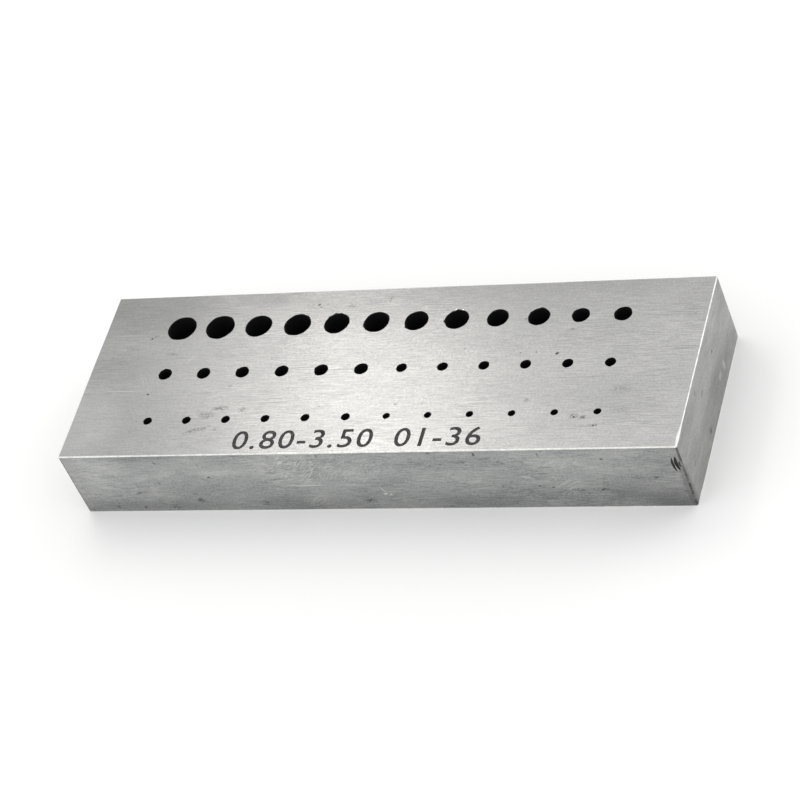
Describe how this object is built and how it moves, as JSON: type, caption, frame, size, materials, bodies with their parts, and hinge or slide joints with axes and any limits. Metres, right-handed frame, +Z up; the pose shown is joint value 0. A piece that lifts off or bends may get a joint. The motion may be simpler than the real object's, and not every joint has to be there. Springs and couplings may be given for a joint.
{
  "type": "wire jig",
  "caption": "Flat rectangular bench block of ground steel with three rows of graded round through holes that hold pegs, pins or wire.",
  "frame": {"origin": "middle of the underside", "axes": "+X along the block towards the end with the finer holes, +Y towards the row of the largest holes, +Z up out of the top face"},
  "size_m": [0.075, 0.025, 0.01],
  "materials": {
    "ground_steel": "hardened tool steel, ground along its length, with dark oxide in the holes"
  },
  "bodies": {
    "root": {"jig_block": "ground_steel"}
  },
  "joints": []
}
